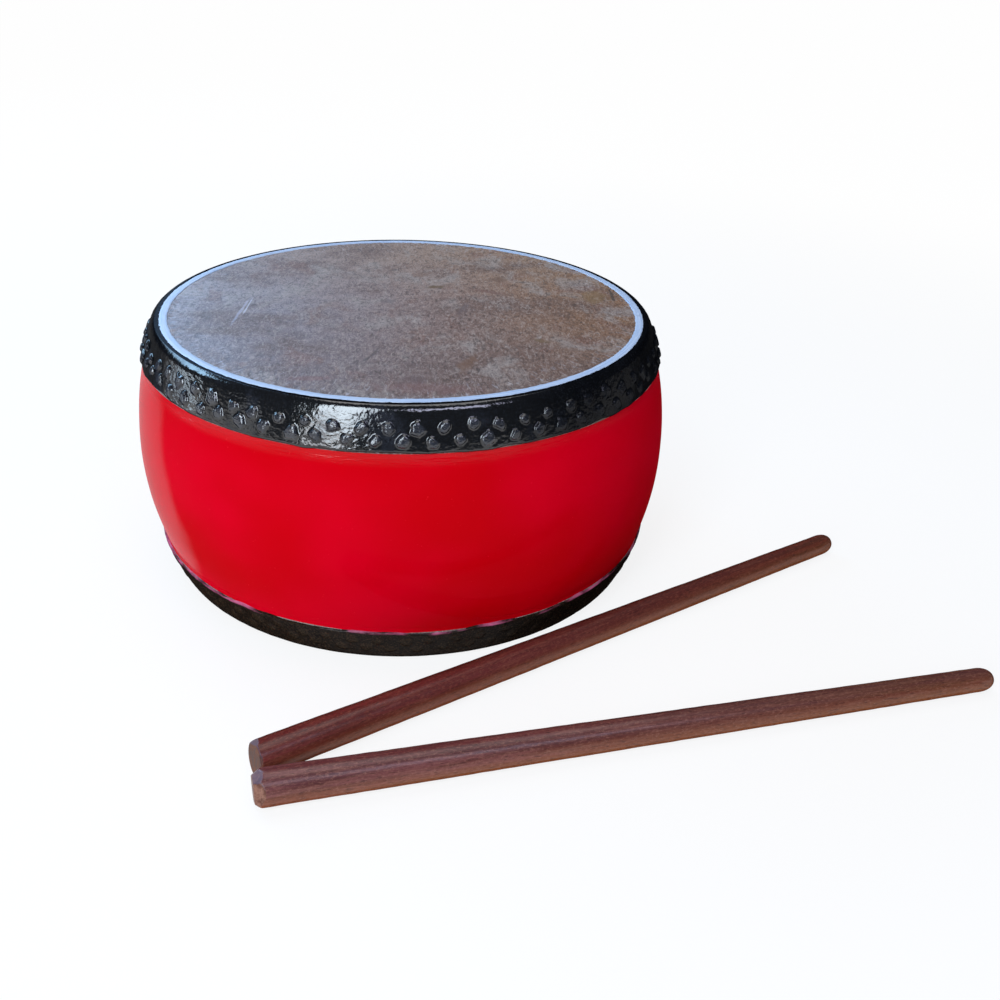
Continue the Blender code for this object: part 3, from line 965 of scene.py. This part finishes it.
def mark_place(tree, mark, ragged):
    """How far out a point lies in a mark, an ellipse with a ragged edge, from 0 at its middle."""
    flat = vector_math(tree, "MULTIPLY", own_place(tree), (1, 1, 0))[0]
    local = add_node(tree, "Mapping", {
        "Vector": flat, "Location": (mark.x, mark.y, 0), "Rotation": (0, 0, radians(mark.turn)),
        "Scale": (mark.length / 2, mark.width / 2, 1),
    }, vector_type="TEXTURE").outputs[0]
    return combine(tree, "ADD", vector_math(tree, "LENGTH", local)["Value"], ragged)


def rawhide(name, shift, marks):
    """Dry hide: grey-brown and mottled, with felted fibres, stains and pale flecks towards its edge, and
    painted sheen and shade across it.
    """
    material, tree, shader = new_finish(name, specular=0.55)
    parts = parts_of(tree, own_place(tree))
    cloud = noise(tree, (18, 26, 16), shift=shift, detail=5, roughness=0.6)
    pale = noise(tree, (40, 24, 30), shift=shift, detail=6, roughness=0.65, distortion=0.8)
    rust = noise(tree, (30, 20, 22), shift=shift, detail=5, roughness=0.7, distortion=0.6)
    felt = noise(tree, (400, 170, 400), detail=4, roughness=0.8, distortion=1.4)
    thread = noise(tree, (300, 90, 300), roughness=0.65, distortion=2.2)
    scuff = noise(tree, (80, 300, 100), detail=4, roughness=0.7, distortion=2.0)
    colour = layered(
        tree, (122, 110, 114),
        # Painted sheen and shade: lilac-grey towards -X, browner towards +X, darker towards the front and
        # paler towards the back
        (parts["X"], -0.10, 0.14, 1.0, (122, 82, 50)),
        (parts["Y"], 0.02, -0.15, 0.7, (88, 69, 65)),
        (parts["Y"], -0.02, 0.15, 0.5, (150, 122, 98)),
        (cloud, 0.44, 0.66, 0.75, (92, 66, 56)),
        (pale, 0.48, 0.66, 0.6, (142, 132, 126)),
        (rust, 0.54, 0.68, 0.6, (106, 66, 50)),
        (felt, 0.50, 0.64, 0.5, (160, 146, 138)),
        (felt, 0.50, 0.37, 0.75, (50, 38, 35)),
        (thread, 0.58, 0.66, 0.3, (172, 160, 152)),
        (scuff, 0.55, 0.67, 0.6, (70, 53, 48)),
    )
    along_edge, radius = round_place(tree, 110, 150)
    flecks = ramp(tree, noise_at(tree, along_edge, detail=2), 0.60, 0.68)
    near_edge = ramp(tree, radius, 0.112, 0.142, 0, 0.3)
    colour = blend(tree, times(tree, flecks, near_edge), colour, (190, 190, 200))
    ragged = combine(tree, "SUBTRACT", noise(tree, (220, 130, 220), detail=4), 0.5)
    ragged = times(tree, ragged, MARK_RAGGEDNESS)
    for mark in marks:
        out = mark_place(tree, mark, ragged)
        colour = layered(tree, colour, (out, *MARK_FADE, mark.strength, mark.colour))
    roughness = ramp(tree, cloud, 0.3, 0.7, 0.40, 0.50)
    apply_finish(tree, shader, colour, roughness, (felt, 0.00014), (pale, 0.0002))
    return material


def stick_wood(name, line, tones):
    """Dark hardwood with its grain along the stick, small open pores and a satin polish.

    Its top is darker as painted shade, and the side that lies on the floor is orange as painted reflection.
    """
    material, tree, shader = new_finish(name, specular=0.0, coat_roughness=0.28)
    start = float(line.butt @ line.direction)
    along = parts_of(tree, place_in(tree, (1, 1, 1), line.heading))["X"]
    figure = noise(tree, (9, 240, 240), line.heading, detail=5, roughness=0.6, distortion=0.4)
    height = parts_of(tree, own_place(tree))["Z"]
    height = combine(tree, "ADD", height, times(tree, figure, WOOD_WANDER))
    shade = noise(tree, (35, 700, 700), line.heading, detail=6, roughness=0.75)
    pores = noise(tree, (240, 1700, 1700), line.heading, detail=2)
    fleck = noise(tree, (500, 1100, 1100), line.heading, detail=4, roughness=0.8)
    colour = layered(tree, tones.butt, (along, start, start + line.length, 1.0, tones.tip))
    radius = line.butt_radius
    colour = layered(
        tree, tones.dark,
        (figure, 0.38, 0.64, 1.0, colour),
        # Painted reflection: orange on the floor side; painted shade: darker on top
        (height, UNDERSIDE_PAINTED_REFLECTION_END * radius, UNDERSIDE_PAINTED_REFLECTION_FULL * radius, 0.9, UNDERSIDE_PAINTED_REFLECTION),
        (height, TOP_PAINTED_SHADE_START * radius, TOP_PAINTED_SHADE_FULL * radius, 0.5, tones.dark),
        (shade, 0.46, 0.70, 0.3, tones.light),
        (pores, 0.46, 0.30, 0.6, (44, 20, 18)),
        (fleck, 0.50, 0.66, 0.42, tones.light),
        (fleck, 0.48, 0.34, 0.35, tones.dark),
    )
    gloss = times(tree, glance_fade(tree), STICK_GLOSS)
    roughness = ramp(tree, figure, 0.3, 0.7, 0.36, 0.5)
    apply_finish(tree, shader, colour, roughness, (fleck, 0.00003), (pores, 0.00003), coat=gloss)
    return material


def end_grain(name, heading, tones):
    """The paler end grain that a knife left at a stick's butt, with its pores cut across, and a painted
    lilac sky sheen on faces that look up.
    """
    material, tree, shader = new_finish(name, specular=0.16)
    rings = noise(tree, (200, 420, 200), heading, detail=4, roughness=0.6, distortion=0.5)
    pores = noise(tree, (1800, 1800, 1800), heading, detail=1)
    upward = parts_of(tree, add_node(tree, "NewGeometry").outputs["Normal"])["Z"]
    colour = layered(
        tree, tones.end_dark,
        (rings, 0.36, 0.66, 1.0, tones.end_light),
        (pores, 0.40, 0.30, 0.5, (60, 32, 26)),
        # Painted sheen: faces that look up turn lilac as if they mirrored the sky
        (upward, 0.40, 0.70, 0.6, (82, 72, 90)),
    )
    roughness = ramp(tree, rings, 0.3, 0.7, 0.4, 0.55)
    apply_finish(tree, shader, colour, roughness, (rings, 0.0001), (pores, 0.0001))
    return material


def stave_wood():
    """Sawn wood of the staves, with its grain up the drum."""
    material, tree, shader = new_finish("sawn_stave_wood", specular=0.3)
    grain = noise(tree, (160, 160, 7), detail=5, distortion=0.8)
    pores = noise(tree, (1200, 1200, 60), detail=2)
    colour = layered(
        tree, (150, 104, 56),
        (grain, 0.3, 0.7, 1.0, (206, 164, 104)),
        (pores, 0.38, 0.3, 0.5, (110, 72, 36)),
    )
    apply_finish(tree, shader, colour, ramp(tree, grain, 0.3, 0.7, 0.5, 0.7), (pores, 0.0001))
    return material


def finish_staves():
    """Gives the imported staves, which stay, their sawn wood."""
    wood = stave_wood()
    for name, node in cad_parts.items():
        if name.startswith("stave_"):
            node.data.materials.clear()
            node.data.materials.append(wood)


def build_drum():
    """Both ends of the drum, each with its hide, its painted line and its black band, and the red coat."""
    lacquers = {
        "top": black_lacquer("black_gloss_lacquer", (6, 7, 10), (46, 48, 56), 1.0, (24, 26, 30)),
        # The floor-side band is the same black lacquer, made browner as a painted reflection of a brown
        # ground
        "bottom": black_lacquer(
            # The last colour is the lip's pale pink: partly red lacquer run onto the hem, partly a painted
            # highlight
            "black_lacquer_painted_ground_reflection", (30, 21, 15), (46, 34, 23), 0.12, (66, 50, 35), (190, 96, 128),
        ),
    }
    hides = {
        "top": rawhide("rawhide_upper", (0, 0, 0), HIDE_MARKS),
        "bottom": rawhide("rawhide_lower", (7, 3, 5), ()),
    }
    paint = pale_rim_paint()
    for end, hide in hides.items():
        random = np.random.default_rng(SEEDS[end])
        pieces = (
            (f"hide_skin_{end}", hide_mesh, "hide", hide, (f"hide_{end}",)),
            (f"rim_paint_{end}", rim_mesh, "hide", paint, ()),
            (f"lacquered_pegs_{end}", band_mesh, "black_lacquer", lacquers[end], (f"peg_band_{end}",)),
        )
        for name, make, slot, material, nodes in pieces:
            add_piece(name, make(name, random), "drum", slot, [material], nodes, end == "bottom")
    coat = coat_mesh("red_lacquer_body", np.random.default_rng(SEEDS["coat"]))
    add_piece("red_lacquer_body", coat, "drum", "red_lacquer", [red_lacquer()], ("red_lacquer_coat",))


def build_sticks():
    """The two sticks, each whittled and coloured in its own way."""
    for end, tones in STICK_TONES.items():
        name = f"stick_{end}_wood"
        line = StickLine(f"stick_{end}")
        random = np.random.default_rng(SEEDS[end])
        mesh = stick_mesh(name, line, BUTT_CUTS[end], BUTT_LEANS[end], random)
        materials = [
            stick_wood(f"{end}_stick_rosewood", line, tones),
            end_grain(f"{end}_stick_end_grain", line.heading, tones),
        ]
        add_piece(name, mesh, f"{end}_stick", "stick_wood", materials, (f"stick_{end}",))


def add_light(light):
    """A soft rectangular light that faces the drum."""
    bearing = radians(light.bearing)
    height = radians(light.height)
    level = cos(height)
    away = Vector((sin(bearing) * level, cos(bearing) * level, sin(height)))
    lamp = bpy.data.lights.new(light.name, "AREA")
    lamp.shape = "RECTANGLE"
    lamp.size = light.width
    lamp.size_y = light.depth
    lamp.energy = light.watts
    lamp.color = light.colour
    placed = add_object(light.name, lamp)
    placed.location = Vector(LIGHT_AIM) + away * light.distance
    placed.rotation_euler = away.to_track_quat("Z", "Y").to_euler()


def show_white(tree, share, lit, white_kind, output):
    """Shows a share of a surface as plain white where it is seen directly, mirrored or through glass."""
    path = add_node(tree, "LightPath").outputs
    rays = [path[f"Is {kind} Ray"] for kind in ("Camera", "Glossy", "Transmission")]
    share = times(tree, combine(tree, "MAXIMUM", *rays), share)
    white = add_node(tree, white_kind, {"Color": (1, 1, 1, 1), "Strength": 1.0})
    mixed = add_node(tree, "MixShader", {0: share, 1: lit.outputs[0], 2: white.outputs[0]})
    tree.links.new(mixed.outputs[0], tree.nodes[output].inputs["Surface"])


def build_floor():
    """A plain pale floor. What sees it directly or mirrored sees it nearly white, with its shadows."""
    width = FLOOR_HALF_WIDTH
    mesh = bpy.data.meshes.new("floor")
    corners = [(-width, -width, 0), (width, -width, 0), (width, width, 0), (-width, width, 0)]
    mesh.from_pydata(corners, [], [(0, 1, 2, 3)])
    floor = add_object("floor", mesh)
    material, tree, shader = new_finish("studio_floor", specular=0.0)
    shader.inputs["Base Color"].default_value = (*FLOOR_SHADE, 1.0)
    shader.inputs["Roughness"].default_value = 1.0
    away = vector_math(tree, "LENGTH", own_place(tree))["Value"]
    whiteness = ramp(tree, away, *FLOOR_WHITENESS)
    show_white(tree, whiteness, shader, "Emission", "Material Output")
    mesh.materials.append(material)
    floor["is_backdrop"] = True


def studio_world():
    """A dim sky, which is seen going over into the white of the floor towards the horizon."""
    world = bpy.data.worlds.new("studio")
    world.use_nodes = True
    tree = world.node_tree
    sky = tree.nodes["Background"]
    sky.inputs["Color"].default_value = (*SKY_LIGHT, 1.0)
    sky.inputs["Strength"].default_value = SKY_STRENGTH
    rise = parts_of(tree, add_node(tree, "TexCoord").outputs["Generated"])["Z"]
    haze = ramp(tree, rise, 0.0, sin(radians(HAZE_TOP)), 1.0, 0.0)
    show_white(tree, haze, sky, "Background", "World Output")
    return world


def build_studio():
    """The floor, the lights and the sky."""
    build_floor()
    for light in LIGHTS:
        add_light(light)
    scene = bpy.context.scene
    scene.world = studio_world()
    scene.view_settings.view_transform = "Standard"


def build_camera():
    """A camera where the photograph was taken from."""
    camera = add_object("camera", bpy.data.cameras.new("camera"))
    camera.data.sensor_width = CAMERA_SENSOR_MM
    camera.data.lens = CAMERA_LENS_MM
    facing = Matrix.Rotation(radians(-CAMERA_HEADING), 4, "Z")
    tilt = Matrix.Rotation(radians(90 + CAMERA_PITCH), 4, "X")
    roll = Matrix.Rotation(radians(CAMERA_ROLL), 4, "Z")
    camera.matrix_world = Matrix.Translation(CAMERA_PLACE) @ facing @ tilt @ roll
    bpy.context.scene.camera = camera


profile = Profile()

build_camera()
finish_staves()
build_drum()
build_sticks()
build_studio()

visual_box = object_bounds()
boxes = {"cad": cad_box, "visual": visual_box}
{name: [list(corner) for corner in box] for name, box in boxes.items()}
